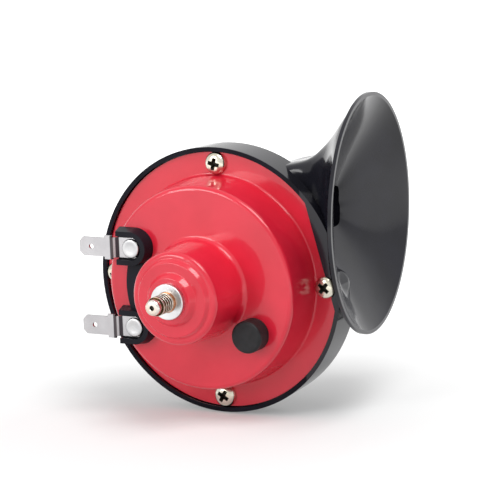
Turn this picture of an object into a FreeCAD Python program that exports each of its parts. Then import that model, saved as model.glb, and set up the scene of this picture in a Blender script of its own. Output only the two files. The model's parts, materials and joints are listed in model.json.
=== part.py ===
import FreeCAD, Part
import math
import os
import re
import Sketcher
from FreeCAD import Vector

# Electric snail horn. Millimetres, +X right, +Y back, +Z up.
# The origin is the seat of the mounting stud: the middle of the washer's front face.
# Heights are measured towards the front from the front face of the housing's flange.

doc = FreeCAD.newDocument("snail_horn")
sheet = doc.addObject("Spreadsheet::Sheet", "sizes")

SIZES = [
    # Housing shell
    ("flange_radius", 42.65, "housing flange, outer radius"),
    ("shell_wall", 1.2, "thickness of the stamped shell"),
    ("chord_inset", 4.05, "flat on the flange, depth of the cut"),
    ("chord_angle", 15.0, "flat on the flange, angle of its normal above +X"),
    ("flange_width", 7.65, "flange, from the foot of the step wall to its edge"),
    ("step_slope", 1.1, "step wall, how much nearer to the axis its top is"),
    ("plateau_height", 14.7, "front face of the plateau"),
    ("cup_foot_radius", 16.3, "foot of the central cup"),
    ("cup_radius", 15.4, "shoulder of the central cup"),
    ("cup_rise", 17.3, "shoulder of the central cup, height above the plateau"),
    ("crown_foot_radius", 13.2, "foot of the raised crown on the cup"),
    ("crown_radius", 12.3, "edge of the crown"),
    ("crown_rise", 1.4, "crown, height above the cup's shoulder"),
    ("boss_foot_radius", 8.9, "foot of the boss under the washer"),
    ("boss_radius", 7.6, "edge of the boss"),
    ("boss_rise", 1.9, "boss, height above the crown"),
    ("shell_round", 1.5, "rounding of the pressed edges"),
    ("foot_round", 0.7, "rounding at the foot of the step wall"),
    ("crown_round", 0.5, "rounding of the crown's and the boss's edges"),
    # Flange screws
    ("screw_inset", 3.65, "flange screws, distance inside the flange's edge"),
    ("screw_count", 4, "flange screws"),
    ("screw_head_radius", 3.4, "pan head, radius"),
    ("screw_head_height", 2.4, "pan head, height"),
    ("screw_round", 1.4, "pan head, rounding of its edge"),
    ("screw_core_radius", 1.7, "screw core, radius"),
    ("screw_length", 7.0, "screw length under the head"),
    ("screw_hole_radius", 2.2, "clearance holes for the screws"),
    ("recess_width", 1.2, "cross recess, width of a wing"),
    ("recess_span", 4.8, "cross recess, tip to tip"),
    ("recess_depth", 1.5, "cross recess, depth"),
    # Stud, core and washer
    ("stud_radius", 3.175, "threaded stud, major radius"),
    ("stud_thread_length", 7.2, "threaded stud, length in front of the washer"),
    ("stud_tip_radius", 2.6, "unthreaded tip, radius"),
    ("stud_tip_length", 2.5, "unthreaded tip, length"),
    ("stud_tip_round", 0.85, "unthreaded tip, rounding of its end"),
    ("stud_tip_hole_radius", 0.8, "centre mark in the tip"),
    ("shank_radius", 3.35, "plain shank under the thread"),
    ("shank_clearance", 0.15, "play of the shank in the shell and the washer"),
    ("washer_radius", 5.9, "stud washer, outer radius"),
    ("washer_thickness", 1.5, "stud washer, thickness"),
    ("washer_round", 0.3, "stud washer, rounding of its front edge"),
    ("core_radius", 6.0, "fixed core, radius"),
    ("core_gap", 1.0, "air gap between the core and the armature"),
    # Terminal block and terminals
    ("rivet_inset", 10.65, "rivets, distance right of the plateau's left edge"),
    ("rivet_z", 13.2, "rivets, half of their distance from each other"),
    ("terminal_drop", 0.65, "terminals, how much their middle lies below the axis"),
    ("block_floor", 2.0, "terminal block, thickness of the floor"),
    ("cup_wall_height", 4.4, "terminal block, height of the cup walls"),
    ("cup_hollow_half", 3.9, "terminal block, half width inside a cup"),
    ("cup_half_width", 6.4, "terminal block, half width of a cup at the plateau"),
    ("cup_draft", 10.0, "terminal block, draft angle of the cup walls"),
    ("cup_left_reach", 6.0, "terminal block, reach of a cup left of its rivet"),
    ("web_outer", 0.35, "terminal block, how far the web's edge lies inside the rivets' circle"),
    ("web_width", 5.2, "terminal block, width of the curved web"),
    ("blade_thickness", 0.8, "spade terminal, thickness"),
    ("blade_width", 6.3, "spade terminal, width of the blade"),
    ("shoulder_width", 7.9, "spade terminal, width of the shoulder"),
    ("blade_tip_reach", 19.0, "blade tip, distance left of the rivet"),
    ("blade_root_reach", 9.6, "shoulder, distance left of the rivet"),
    ("joggle_reach", 6.75, "front end of the joggle, distance left of the rivet"),
    ("joggle_length", 1.85, "joggle, length"),
    ("joggle_height", 1.5, "joggle, height"),
    ("blade_hole_reach", 14.6, "hole in the blade, distance left of the rivet"),
    ("blade_hole_radius", 0.85, "hole in the blade, radius"),
    ("blade_chamfer", 1.4, "chamfer at the blade's tip"),
    ("blade_plate_width", 6.7, "terminal plate in the cup, width"),
    ("blade_plate_reach", 2.4, "terminal plate, reach right of the rivet"),
    ("rivet_radius", 1.6, "rivet shank, radius"),
    ("rivet_head_radius", 3.2, "rivet head, radius"),
    ("rivet_head_height", 1.4, "rivet head, height"),
    ("rivet_round", 0.7, "rivet head, rounding of its edge"),
    ("rivet_tail_radius", 2.5, "closed end of the rivet, radius"),
    ("rivet_tail_height", 1.2, "closed end of the rivet, height"),
    ("rivet_clearance", 0.1, "play around the rivet shank"),
    ("bush_wall", 0.8, "insulating bush around a rivet, wall"),
    ("bush_clearance", 0.15, "play of the bush in the shell"),
    # Adjuster
    ("adjuster_offset", 7.7, "adjusting screw, distance from the central cup's foot"),
    ("adjuster_angle", -35.2, "adjusting screw, angle above +X"),
    ("adjuster_screw_radius", 2.0, "adjusting screw, radius"),
    ("adjuster_clearance", 0.05, "play of the adjusting screw in the shell"),
    ("adjuster_rise", 3.2, "adjusting screw, height above the plateau"),
    ("slot_width", 0.8, "slot of the adjusting screw, width"),
    ("slot_depth", 1.0, "slot of the adjusting screw, depth"),
    ("cap_radius", 5.4, "rubber cap, radius"),
    ("cap_height", 6.0, "rubber cap, height"),
    ("cap_wall", 1.4, "rubber cap, wall"),
    ("cap_round", 0.9, "rubber cap, rounding of the front edge"),
    # Contact set and magnet
    ("yoke_clearance", 0.55, "gap between the yoke plate and the contact insulator"),
    ("yoke_bore", 7.0, "yoke plate, bore radius"),
    ("yoke_thickness", 1.0, "yoke plate, thickness"),
    ("insulator_thickness", 1.2, "contact insulator, thickness"),
    ("insulator_left_reach", 3.7, "contact insulator, reach left of the rivets"),
    ("insulator_right_reach", 4.2, "contact insulator, reach right of the rivets"),
    ("insulator_above", 3.9, "contact insulator, reach above and below the rivets"),
    ("contact_blade_thickness", 0.4, "moving contact blade, thickness"),
    ("contact_arm_thickness", 1.0, "fixed contact arm, thickness"),
    ("arm_margin", 0.6, "fixed contact arm, margin around the adjusting screw"),
    ("contact_height", 0.9, "height of each contact"),
    ("contact_radius", 1.8, "contacts, radius"),
    ("contact_z", 15.5, "contacts, distance below the axis"),
    ("strip_half_width", 2.0, "half width of the blade and the arm"),
    ("tongue_half_width", 3.0, "tongue of the blade, half width"),
    ("tongue_reach", 7.2, "tongue of the blade, distance below the axis"),
    ("tag_thickness", 0.6, "coil tag, thickness"),
    ("bobbin_radius", 13.8, "bobbin flanges, radius"),
    ("bobbin_bore", 6.6, "bobbin bore, radius"),
    ("bobbin_wall", 1.2, "bobbin, thickness"),
    ("bobbin_clearance", 0.3, "play between the bobbin and the cup"),
    ("winding_clearance", 0.1, "play between the winding and the bobbin"),
    ("winding_inset", 0.6, "winding, distance inside the flanges' edge"),
    # Armature and diaphragm
    ("armature_radius", 5.9, "armature plunger, radius"),
    ("armature_rise", 5.3, "armature plunger, height of its face above the plateau"),
    ("collar_radius", 8.6, "armature collar, radius"),
    ("blade_gap", 0.6, "gap between the insulating ring and the contact blade"),
    ("collar_thickness", 1.2, "armature collar, thickness"),
    ("ring_thickness", 0.8, "insulating ring, thickness"),
    ("ring_clearance", 0.1, "play of the insulating ring on the plunger"),
    ("stem_radius", 6.0, "armature stem above the diaphragm, radius"),
    ("spigot_radius", 2.5, "armature spigot through the diaphragm"),
    ("spigot_clearance", 0.05, "play of the spigot in the diaphragm and washer"),
    ("spigot_rise", 0.5, "armature spigot, length past the nut"),
    ("clamp_radius", 7.0, "clamping washer, radius"),
    ("clamp_thickness", 1.0, "clamping washer, thickness"),
    ("nut_flats", 8.0, "armature nut, across flats"),
    ("nut_thickness", 3.0, "armature nut, thickness"),
    ("gasket_thickness", 0.5, "gaskets, thickness"),
    ("gasket_width", 8.65, "gaskets, width"),
    ("diaphragm_thickness", 0.4, "diaphragm, thickness"),
    # Trumpet tray
    ("rim_wall", 1.5, "raised rim, wall: the rim's outer diameter is 3.5 in"),
    ("rim_rise", 1.24, "raised rim, height in front of the flange"),
    ("flange_clearance", 0.3, "play around the flange in the tray"),
    ("skirt_depth", 12.0, "back edge of the skirt, behind the flange"),
    ("skirt_draft", 0.69, "skirt, how much nearer to the axis its back edge is"),
    ("tray_wall", 1.8, "wall of the tray"),
    ("chamber_depth", 2.0, "sound chamber behind the rear gasket"),
    ("floor_thickness", 2.0, "floor of the tray"),
    ("boss_outer_radius", 4.0, "screw bosses behind the floor, radius"),
    ("pilot_clearance", 0.1, "play around the screw core in its boss"),
    ("pilot_wall", 1.5, "screw boss behind the end of its screw"),
    ("boss_guard", 1.3, "wall of the bell around the ear and its screw"),
    ("guard_round", 4.0, "rounding where that wall meets the bowl"),
    # Sound duct
    ("throat_radius", 6.0, "throat in the tray's floor"),
    ("duct_depth", 19.9, "duct, inner depth"),
    ("duct_wall", 2.0, "duct, wall"),
    ("duct_angle", 450.0, "duct, angle of the spiral"),
    ("duct_start_radius", 6.0, "duct, radius of its middle at the throat"),
    ("duct_start_half", 3.0, "duct, half width at the throat"),
    ("duct_end_half", 7.0, "duct, half width where it leaves the spiral"),
    ("duct_run", 10.0, "duct, straight run from the spiral to the neck"),
    ("duct_round", 4.0, "duct, rounding of the cover's outer edge"),
    ("split_depth", 16.5, "weld line of the duct, behind the flange"),
    # Bell
    ("mouth_reach", 5.33, "mouth of the bell, distance of its centre past the flange"),
    ("mouth_z", 22.0, "mouth of the bell, centre"),
    ("mouth_depth", 16.0, "mouth of the bell, centre behind the flange"),
    ("mouth_radius", 39.57, "mouth of the bell, outer radius"),
    ("mouth_tilt", 8.24, "mouth of the bell, angle that it faces back"),
    ("lip_length", 1.2, "lip of the bell, length"),
    ("lip_wall", 1.2, "lip of the bell, wall"),
    ("lip_step", 0.4, "lip of the bell, height of the band around it"),
    ("lip_overlap", 0.3, "how far the bell reaches into its lip"),
    ("neck_inset", 18.15, "neck's full box section, distance inside the flange's edge"),
    ("neck_top", 38.9, "neck of the bell, height of its top face"),
    ("neck_bottom", 9.0, "neck of the bell, height of its lower face"),
    ("neck_start_top", 35.4, "start of the neck, height of its top face"),
    ("neck_start_bottom", 13.6, "start of the neck, height of its lower face"),
    ("neck_corner_power", 9.0, "neck, how boxy its section is: 2 is round"),
    ("throat_corner_power", 8.0, "end of the duct, how boxy its section is"),
    ("height_power", 1.7, "bell, how late it grows up and down"),
    ("front_power", 3.5, "bell, how late it grows to the front"),
    ("rear_power", 1.3, "bell, how late it grows to the back"),
    ("bowl_power", 4.0, "bowl of the bell, how soon it opens past the duct"),
    ("bowl_wall", 2.0, "bell, wall at the end of the duct"),
    ("throat_inset", 11.65, "end of the duct, distance inside the flange's edge"),
    ("throat_ledge", 0.2, "ledge around the end of the duct"),
]

for row, (alias, number, note) in enumerate(SIZES, start=1):
    sheet.set("A%d" % row, note)
    sheet.set("B%d" % row, str(number))
    sheet.setAlias("B%d" % row, alias)
doc.recompute()

ALIASES = {alias for alias, number, note in SIZES}

# Radii and places across that follow from the sizes
PITCH_RADIUS = "(flange_radius - screw_inset)"
CHORD_DISTANCE = "(flange_radius - chord_inset)"
STEP_FOOT_RADIUS = "(flange_radius - flange_width)"
PLATEAU_RADIUS = "(%s - step_slope)" % STEP_FOOT_RADIUS
GASKET_BORE = "(flange_radius - gasket_width)"
POCKET_RADIUS = "(flange_radius + flange_clearance)"
RIM_RADIUS = "(%s + rim_wall)" % POCKET_RADIUS
SKIRT_RADIUS = "(%s - skirt_draft)" % RIM_RADIUS
EAR_RADIUS = "screw_inset"
MOUTH_X = "(flange_radius + mouth_reach)"
NECK_X = "(flange_radius - neck_inset)"
THROAT_X = "(flange_radius - throat_inset)"
ADJUSTER_RADIUS = "(cup_foot_radius + adjuster_offset)"
ADJUSTER = (ADJUSTER_RADIUS + " * cos(adjuster_angle)", ADJUSTER_RADIUS + " * sin(adjuster_angle)")
RIVET_X = "(rivet_inset - %s)" % PLATEAU_RADIUS
YOKE_RADIUS = "(%s - rivet_inset - insulator_right_reach - yoke_clearance)" % PLATEAU_RADIUS
UPPER = "(rivet_z - terminal_drop)"
LOWER = "(-rivet_z - terminal_drop)"

# Heights in front of the flange that follow from the sizes
CUP_HEIGHT = "(plateau_height + cup_rise)"
CROWN_HEIGHT = "(%s + crown_rise)" % CUP_HEIGHT
BOSS_HEIGHT = "(%s + boss_rise)" % CROWN_HEIGHT
WASHER_FRONT = "(%s + washer_thickness)" % BOSS_HEIGHT
PLATEAU_INSIDE = "(plateau_height - shell_wall)"
INSULATOR_BACK = "(%s - insulator_thickness)" % PLATEAU_INSIDE
CONTACT_BLADE_BACK = "(%s - contact_blade_thickness)" % INSULATOR_BACK
CONTACT_ARM_FRONT = "(%s - 2 * contact_height)" % CONTACT_BLADE_BACK
CONTACT_ARM_BACK = "(%s - contact_arm_thickness)" % CONTACT_ARM_FRONT
ARMATURE_TOP = "(plateau_height + armature_rise)"
COLLAR_FRONT = "(%s - blade_gap - ring_thickness)" % CONTACT_BLADE_BACK
COLLAR_BACK = "(%s - collar_thickness)" % COLLAR_FRONT
TERMINAL_BACK = "(plateau_height + block_floor)"
TERMINAL_FRONT = "(%s + blade_thickness)" % TERMINAL_BACK
DIAPHRAGM_FRONT = "(-shell_wall - gasket_thickness)"
DIAPHRAGM_BACK = "(%s - diaphragm_thickness)" % DIAPHRAGM_FRONT
SEAT = "(%s - gasket_thickness)" % DIAPHRAGM_BACK
CHAMBER_BACK = "(%s - chamber_depth)" % SEAT
FLOOR_BACK = "(%s - floor_thickness)" % CHAMBER_BACK
DUCT_BACK = "(%s - duct_depth)" % FLOOR_BACK

FULL_TURN = 360


def cells(text):
    """Expression text with each size's name pointed at the sheet."""
    return re.sub(r"[a-z][a-z_]*", lambda m: "sizes." + m.group() if m.group() in ALIASES else m.group(), text)


def value(text):
    """Number that an expression text has now."""
    return float(sheet.evalExpression(cells(text)))


def depth(height):
    """Y of a height in front of the flange."""
    return "(%s - (%s))" % (WASHER_FRONT, height)


def new_body(name):
    body = doc.addObject("PartDesign::Body", name)
    body.Label = name
    return body


def new_sketch(body, name, role):
    sketch = body.newObject("Sketcher::SketchObject", name)
    plane = [item for item in body.Origin.OriginFeatures if item.Role == role][0]
    sketch.AttachmentSupport = [(plane, "")]
    sketch.MapMode = "FlatFace"
    return sketch


def side_sketch(body, name):
    """Sketch in the plane Z = 0: across is the radius, up is Y."""
    return new_sketch(body, name, "XY_Plane")


def front_sketch(body, name, height):
    """Sketch seen from the front, at a height in front of the flange."""
    sketch = new_sketch(body, name, "XZ_Plane")
    sketch.setExpression(".AttachmentOffset.Base.z", cells("%s - %s" % (height, WASHER_FRONT)))
    return sketch


def fix(sketch, kind, item, point, text):
    """Bind one coordinate of a point to an expression."""
    if text == "0":
        axis = -2 if kind == "DistanceX" else -1
        sketch.addConstraint(Sketcher.Constraint("PointOnObject", item, point, axis))
        return
    index = sketch.addConstraint(Sketcher.Constraint(kind, item, point, value(text)))
    sketch.setExpression("Constraints[%d]" % index, cells(text))


def outline(sketch, corners):
    """Closed outline through corners, each a pair of expressions."""
    first = sketch.GeometryCount
    points = [Vector(value(across), value(up), 0) for across, up in corners]
    count = len(points)
    for index in range(count):
        sketch.addGeometry(Part.LineSegment(points[index], points[(index + 1) % count]), False)
    for index in range(count):
        following = first + (index + 1) % count
        sketch.addConstraint(Sketcher.Constraint("Coincident", first + index, 2, following, 1))
    for index, (across, up) in enumerate(corners):
        fix(sketch, "DistanceX", first + index, 1, across)
        fix(sketch, "DistanceY", first + index, 1, up)


def box_outline(sketch, left, right, bottom, top):
    outline(sketch, [(left, bottom), (right, bottom), (right, top), (left, top)])


def circle(sketch, across, up, radius):
    centre = Vector(value(across), value(up), 0)
    item = sketch.addGeometry(Part.Circle(centre, Vector(0, 0, 1), value(radius)), False)
    fix(sketch, "DistanceX", item, 3, across)
    fix(sketch, "DistanceY", item, 3, up)
    index = sketch.addConstraint(Sketcher.Constraint("Radius", item, value(radius)))
    sketch.setExpression("Constraints[%d]" % index, cells(radius))


def arc(sketch, across, up, radius, start, end):
    """Arc about a fixed centre, anticlockwise between two angles in degrees."""
    centre = Vector(value(across), value(up), 0)
    whole = Part.Circle(centre, Vector(0, 0, 1), value(radius))
    item = sketch.addGeometry(Part.ArcOfCircle(whole, math.radians(start), math.radians(end)), False)
    fix(sketch, "DistanceX", item, 3, across)
    fix(sketch, "DistanceY", item, 3, up)
    index = sketch.addConstraint(Sketcher.Constraint("Radius", item, value(radius)))
    sketch.setExpression("Constraints[%d]" % index, cells(radius))
    return item


def line(sketch, start, end):
    """Straight line between two points given as pairs of numbers."""
    return sketch.addGeometry(Part.LineSegment(Vector(*start, 0), Vector(*end, 0)), False)


def join(sketch, first, second):
    """Let the end of one item be the start of the next."""
    sketch.addConstraint(Sketcher.Constraint("Coincident", first, 2, second, 1))


def cup_outline(sketch, left, middle, up, half):
    """Outline that is round on the right and square on the left."""
    x_left, x_middle, z, reach = value(left), value(middle), value(up), value(half)
    bottom = line(sketch, (x_left, z - reach), (x_middle, z - reach))
    bend = arc(sketch, middle, up, half, -90, 90)
    top = line(sketch, (x_middle, z + reach), (x_left, z + reach))
    closing = line(sketch, (x_left, z + reach), (x_left, z - reach))
    for first, second in ((bottom, bend), (bend, top), (top, closing), (closing, bottom)):
        join(sketch, first, second)
    fix(sketch, "DistanceX", bottom, 1, left)
    fix(sketch, "DistanceY", bottom, 1, "%s - %s" % (up, half))
    fix(sketch, "DistanceX", bend, 1, middle)
    fix(sketch, "DistanceX", bend, 2, middle)
    fix(sketch, "DistanceX", top, 2, left)
    fix(sketch, "DistanceY", top, 2, "%s + %s" % (up, half))


def feature(body, kind, name, sketch):
    item = body.newObject("PartDesign::" + kind, name)
    item.Profile = sketch
    body.Tip = item
    return item


def turned(name, profile):
    """Body turned about the horn's axis from a list of (radius, height) corners."""
    body = new_body(name)
    sketch = side_sketch(body, name + "_profile")
    outline(sketch, [(radius, depth(height)) for radius, height in profile])
    item = feature(body, "Revolution", name + "_turned", sketch)
    item.ReferenceAxis = (sketch, ["V_Axis"])
    item.Angle = 360
    doc.recompute()
    return body


def ring_profile(inner, outer, back, front):
    return [(inner, back), (outer, back), (outer, front), (inner, front)]


def pad(body, name, draw, back, thickness):
    """Plate drawn from the front, from a height towards the front."""
    sketch = front_sketch(body, name + "_outline", back)
    draw(sketch)
    item = feature(body, "Pad", name, sketch)
    item.setExpression("Length", cells(thickness))
    doc.recompute()
    return item


def pocket(body, name, draw, front, length):
    """Cut drawn from the front, from a height towards the back."""
    sketch = front_sketch(body, name + "_outline", front)
    draw(sketch)
    item = feature(body, "Pocket", name, sketch)
    item.setExpression("Length", cells(length))
    doc.recompute()
    return item


def polar(body, name, base, count):
    """Repeat a feature around the horn's axis."""
    item = body.newObject("PartDesign::PolarPattern", name)
    item.Originals = [base]
    item.Axis = (base.Profile[0], ["N_Axis"])
    item.Angle = 360
    item.setExpression("Occurrences", cells(count))
    body.Tip = item
    doc.recompute()
    return item


def round_edges(body, name, radius, test):
    """Fillet the edges of the body's last feature that pass a test."""
    base = body.Tip
    names = ["Edge%d" % (index + 1) for index, edge in enumerate(base.Shape.Edges) if test(edge)]
    item = body.newObject("PartDesign::Fillet", name)
    item.Base = (base, names)
    item.setExpression("Radius", cells(radius))
    body.Tip = item
    doc.recompute()
    return item


def ring_test(*rings):
    """Test for round edges about the axis, each a (radius, height) pair."""
    wanted = [(value(radius), value(depth(height))) for radius, height in rings]

    def test(edge):
        if not isinstance(edge.Curve, Part.Circle):
            return False
        near = [abs(edge.Curve.Radius - radius) + abs(edge.Curve.Center.y - y) for radius, y in wanted]
        return min(near) < 1e-4

    return test


def chord_corners(gap):
    """Region beyond the flat of the flange, moved outwards by a gap."""
    reach = "(2 * flange_radius)"
    near = "(%s + %s)" % (CHORD_DISTANCE, gap)
    far = "(%s + %s)" % (CHORD_DISTANCE, reach)
    corners = [(near, "-" + reach), (far, "-" + reach), (far, reach), (near, reach)]
    return [("(%s * cos(chord_angle) - (%s) * sin(chord_angle))" % (along, across),
             "(%s * sin(chord_angle) + (%s) * cos(chord_angle))" % (along, across)) for along, across in corners]


def cut_chord(body, front, length):
    """Cut the flat off a flange, gasket or disc."""
    pocket(body, body.Name + "_flat", lambda sketch: outline(sketch, chord_corners("0")), front, length)


def add_ear(body, back, thickness):
    """Round ear around the right screw, past the flat."""
    pad(body, body.Name + "_ear", lambda sketch: circle(
        sketch, PITCH_RADIUS, "0", EAR_RADIUS), back, thickness)


def cut_screw_holes(body, front, length):
    hole = pocket(body, body.Name + "_hole", lambda sketch: circle(
        sketch, PITCH_RADIUS, "0", "screw_hole_radius"), front, length)
    polar(body, body.Name + "_holes", hole, "screw_count")


# Stamped steel housing
def make_housing():
    outside = [
        ("shank_radius + shank_clearance", BOSS_HEIGHT),
        ("boss_radius", BOSS_HEIGHT),
        ("boss_foot_radius", CROWN_HEIGHT),
        ("crown_radius", CROWN_HEIGHT),
        ("crown_foot_radius", CUP_HEIGHT),
        ("cup_radius", CUP_HEIGHT),
        ("cup_foot_radius", "plateau_height"),
        (PLATEAU_RADIUS, "plateau_height"),
        (STEP_FOOT_RADIUS, "0"),
        ("flange_radius", "0"),
    ]
    inside = [("%s - shell_wall" % radius, "%s - shell_wall" % height) for radius, height in outside[1:-1]]
    profile = outside + [("flange_radius", "-shell_wall")] + inside[::-1]
    profile.append(("shank_radius + shank_clearance", BOSS_HEIGHT + " - shell_wall"))
    body = turned("housing_shell", profile)
    round_edges(body, "pressed_edges", "shell_round", ring_test(
        ("cup_radius", CUP_HEIGHT), ("cup_foot_radius", "plateau_height"),
        (PLATEAU_RADIUS, "plateau_height"), ("cup_foot_radius - shell_wall", PLATEAU_INSIDE)))
    round_edges(body, "foot_edge", "foot_round", ring_test((STEP_FOOT_RADIUS, "0")))
    round_edges(body, "crown_edges", "crown_round", ring_test(
        ("crown_radius", CROWN_HEIGHT), ("crown_foot_radius", CUP_HEIGHT),
        ("boss_radius", BOSS_HEIGHT), ("boss_foot_radius", CROWN_HEIGHT)))
    cut_chord(body, "rim_rise", "2 * shell_wall + rim_rise")
    add_ear(body, "-shell_wall", "shell_wall")
    cut_screw_holes(body, "rim_rise", "2 * shell_wall + rim_rise")

    def rivet_and_adjuster_holes(sketch):
        for up in (UPPER, LOWER):
            circle(sketch, RIVET_X, up, "rivet_radius + rivet_clearance + bush_wall + bush_clearance")
        circle(sketch, *ADJUSTER, "adjuster_screw_radius + adjuster_clearance")

    pocket(body, "plateau_holes", rivet_and_adjuster_holes, "plateau_height + shell_wall", "3 * shell_wall")
    return body


# Flange screws
def make_screws():
    body = new_body("screw")
    sketch = side_sketch(body, "screw_profile")
    outline(sketch, [("0", depth("-screw_length")), ("screw_core_radius", depth("screw_core_radius - screw_length")),
                     ("screw_core_radius", depth("0")), ("screw_head_radius", depth("0")),
                     ("screw_head_radius", depth("screw_head_height")), ("0", depth("screw_head_height"))])
    item = feature(body, "Revolution", "screw_turned", sketch)
    item.ReferenceAxis = (sketch, ["V_Axis"])
    doc.recompute()
    round_edges(body, "screw_dome", "screw_round", ring_test(("screw_head_radius", "screw_head_height")))
    half_wing = "recess_width / 2"
    half_span = "recess_span / 2"
    for name, across, up in (("wing_across", half_span, half_wing), ("wing_up", half_wing, half_span)):
        pocket(body, name, lambda sketch: box_outline(sketch, "-" + across, across, "-" + up, up),
               "screw_head_height", "recess_depth")
    group = doc.addObject("Part::Feature", "flange_screws")
    group.Label = "flange_screws"
    copies = []
    count = int(value("screw_count"))
    for index in range(count):
        copy = body.Shape.copy()
        copy.translate(Vector(value(PITCH_RADIUS), 0, 0))
        copy.rotate(Vector(0, 0, 0), Vector(0, -1, 0), index * 360.0 / count)
        copies.append(copy)
    group.Shape = Part.makeCompound(copies)
    return group


# Fixed core with the mounting stud, and its washer
def make_stud():
    thread_front = WASHER_FRONT + " + stud_thread_length"
    tip_front = thread_front + " + stud_tip_length"
    body = turned("core_stud", [
        ("0", ARMATURE_TOP + " + core_gap"), ("core_radius", ARMATURE_TOP + " + core_gap"),
        ("core_radius", BOSS_HEIGHT + " - shell_wall"), ("shank_radius", BOSS_HEIGHT + " - shell_wall"),
        ("shank_radius", WASHER_FRONT), ("stud_radius", WASHER_FRONT), ("stud_radius", thread_front),
        ("stud_tip_radius", thread_front), ("stud_tip_radius", tip_front), ("0", tip_front)])
    round_edges(body, "stud_tip_edge", "stud_tip_round", ring_test(("stud_tip_radius", tip_front)))
    pocket(body, "stud_tip_mark", lambda sketch: circle(sketch, "0", "0", "stud_tip_hole_radius"),
           tip_front, "stud_tip_hole_radius")
    washer = turned("stud_washer", ring_profile("shank_radius + shank_clearance", "washer_radius",
                                                BOSS_HEIGHT, WASHER_FRONT))
    round_edges(washer, "washer_edge", "washer_round", ring_test(("washer_radius", WASHER_FRONT)))
    return body, washer


# Terminal block, terminals and rivets
def add_web(body):
    """Band about the horn's axis, from the middle of one cup to the middle of the other."""
    outer = "(sqrt(%s ^ 2 + rivet_z ^ 2) - web_outer)" % RIVET_X
    inner = "(%s - web_width)" % outer

    def draw(sketch):
        ends = [math.degrees(math.atan2(value(up), value(RIVET_X))) % 360 for up in (UPPER, LOWER)]
        far = arc(sketch, "0", "0", outer, *ends)
        near = arc(sketch, "0", "0", inner, *ends)
        corners = [(value(radius) * math.cos(math.radians(end)), value(radius) * math.sin(math.radians(end)))
                   for radius in (outer, inner) for end in ends]
        first = line(sketch, corners[1], corners[3])
        second = line(sketch, corners[2], corners[0])
        sketch.addConstraint(Sketcher.Constraint("Coincident", far, 2, first, 1))
        sketch.addConstraint(Sketcher.Constraint("Coincident", first, 2, near, 2))
        sketch.addConstraint(Sketcher.Constraint("Coincident", near, 1, second, 1))
        sketch.addConstraint(Sketcher.Constraint("Coincident", second, 2, far, 1))
        for item in (far, near):
            fix(sketch, "DistanceY", item, 1, UPPER)
            fix(sketch, "DistanceY", item, 2, LOWER)

    pad(body, "web", draw, "plateau_height", "block_floor")


def make_terminal_block():
    """Two cups, round about their rivets and open to the left, joined by a curved web."""
    body = new_body("terminal_block")
    left = RIVET_X + " - cup_left_reach"
    hollow_front = "plateau_height + cup_wall_height"

    def cups(reach, half):
        def draw(sketch):
            for up in (UPPER, LOWER):
                cup_outline(sketch, reach, RIVET_X, up, half)
        return draw

    def rivet_holes(sketch):
        for up in (UPPER, LOWER):
            circle(sketch, RIVET_X, up, "rivet_radius + rivet_clearance")

    walls = pad(body, "cup_walls", cups(left, "cup_half_width"), "plateau_height", "cup_wall_height")
    walls.setExpression("TaperAngle", cells("-cup_draft"))
    doc.recompute()
    pocket(body, "cup_hollows", cups(left + " - cup_half_width", "cup_hollow_half"), hollow_front,
           "cup_wall_height - block_floor")
    add_web(body)
    pocket(body, "rivet_holes", rivet_holes, TERMINAL_FRONT, "block_floor + 2 * blade_thickness")
    return body


def make_terminal(name, up):
    """Spade terminal: a strip bent to its side profile, then trimmed to its outline."""
    body = new_body(name)
    sketch = side_sketch(body, name + "_bend")
    sketch.setExpression(".AttachmentOffset.Base.z", cells(up))
    plate_right = RIVET_X + " + blade_plate_reach"
    joggle_right = RIVET_X + " - joggle_reach + joggle_length"
    joggle_left = RIVET_X + " - joggle_reach"
    tip = RIVET_X + " - blade_tip_reach"
    raised_back = TERMINAL_BACK + " + joggle_height"
    raised_front = TERMINAL_FRONT + " + joggle_height"
    outline(sketch, [(plate_right, depth(TERMINAL_BACK)), (joggle_right, depth(TERMINAL_BACK)),
                     (joggle_left, depth(raised_back)), (tip, depth(raised_back)), (tip, depth(raised_front)),
                     (joggle_left, depth(raised_front)), (joggle_right, depth(TERMINAL_FRONT)),
                     (plate_right, depth(TERMINAL_FRONT))])
    strip = feature(body, "Pad", name + "_strip", sketch)
    strip.Midplane = True
    strip.setExpression("Length", cells("shoulder_width"))
    doc.recompute()

    def trims(sketch):
        for sign in ("+", "-"):
            edge = "%s %s shoulder_width" % (up, sign)
            blade = "%s %s blade_width / 2" % (up, sign)
            plate = "%s %s blade_plate_width / 2" % (up, sign)
            root = RIVET_X + " - blade_root_reach"
            corner = "%s %s (blade_width / 2 - blade_chamfer)" % (up, sign)
            end_corner = "%s %s (blade_plate_width / 2 - blade_chamfer)" % (up, sign)
            outline(sketch, [(tip + " - blade_chamfer", edge), (tip + " - blade_chamfer", corner),
                             (tip, corner), (tip + " + blade_chamfer", blade), (root, blade), (root, edge)])
            outline(sketch, [(joggle_left, edge), (joggle_left, plate), (plate_right + " - blade_chamfer", plate),
                             (plate_right, end_corner), (plate_right + " + blade_chamfer", end_corner),
                             (plate_right + " + blade_chamfer", edge)])

    through = "joggle_height + 3 * blade_thickness"
    pocket(body, name + "_trim", trims, raised_front + " + blade_thickness", through)

    def holes(sketch):
        circle(sketch, RIVET_X + " - blade_hole_reach", up, "blade_hole_radius")
        circle(sketch, RIVET_X, up, "rivet_radius + rivet_clearance")

    pocket(body, name + "_holes", holes, raised_front + " + blade_thickness", through)
    return body


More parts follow.
